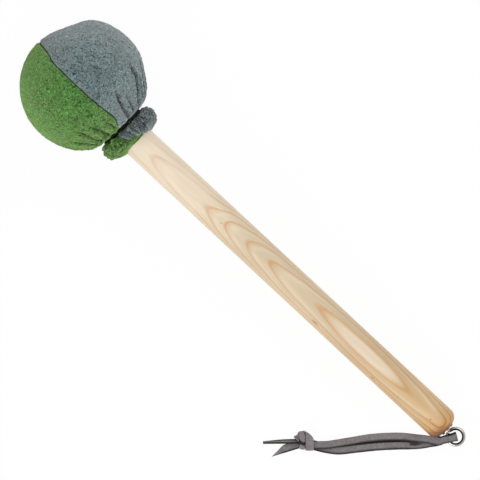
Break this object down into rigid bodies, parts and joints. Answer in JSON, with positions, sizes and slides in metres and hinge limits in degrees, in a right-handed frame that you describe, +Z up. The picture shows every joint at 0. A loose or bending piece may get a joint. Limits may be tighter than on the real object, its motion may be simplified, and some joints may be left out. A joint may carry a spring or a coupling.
{
  "type": "gong mallet",
  "caption": "Soft ball-headed gong mallet: padded core under a grey and green fleece cover tied at the neck, maple handle, screw eye and a knotted suede wrist lace.",
  "frame": {"origin": "on the table under the middle of the head, where the lying mallet's head rests", "axes": "+X towards the butt of the handle, +Y towards the grey half of the cover, +Z up from the table"},
  "size_m": [0.4426, 0.1581, 0.0981],
  "materials": {
    "maple": "sanded, clear sealed",
    "turned_wood": "turned, unfinished",
    "zinc_steel": "zinc plated",
    "felt": "pressed felt",
    "foam": "soft padding",
    "grey_fleece": "pilled fleece nap",
    "green_fleece": "pilled fleece nap",
    "black_cord": "matt waxed cord",
    "nickel_steel": "bright nickel plated",
    "suede": "napped suede"
  },
  "bodies": {
    "mallet": {"handle": "maple", "head_core": "turned_wood", "core_screw": "zinc_steel", "core_washer": "zinc_steel", "felt_wrap": "felt", "foam_padding": "foam", "cover_grey": "grey_fleece", "cover_green": "green_fleece", "seam_thread": "black_cord", "neck_tie": "black_cord", "neck_tie_knot": "black_cord", "screw_eye": "nickel_steel", "eye_washer": "nickel_steel"},
    "lace": {"lace_loop": "suede", "lace_knot": "suede", "lace_tail_upper": "suede", "lace_tail_lower": "suede"}
  },
  "joints": [
    {"name": "lace_swing", "type": "hinge", "parent": "mallet", "child": "lace", "pos_m": [0.38521, -0.00526, 0.01128], "axis": [-0.8372, 0.5408, 0.0815], "range_deg": [-90, 120]}
  ]
}
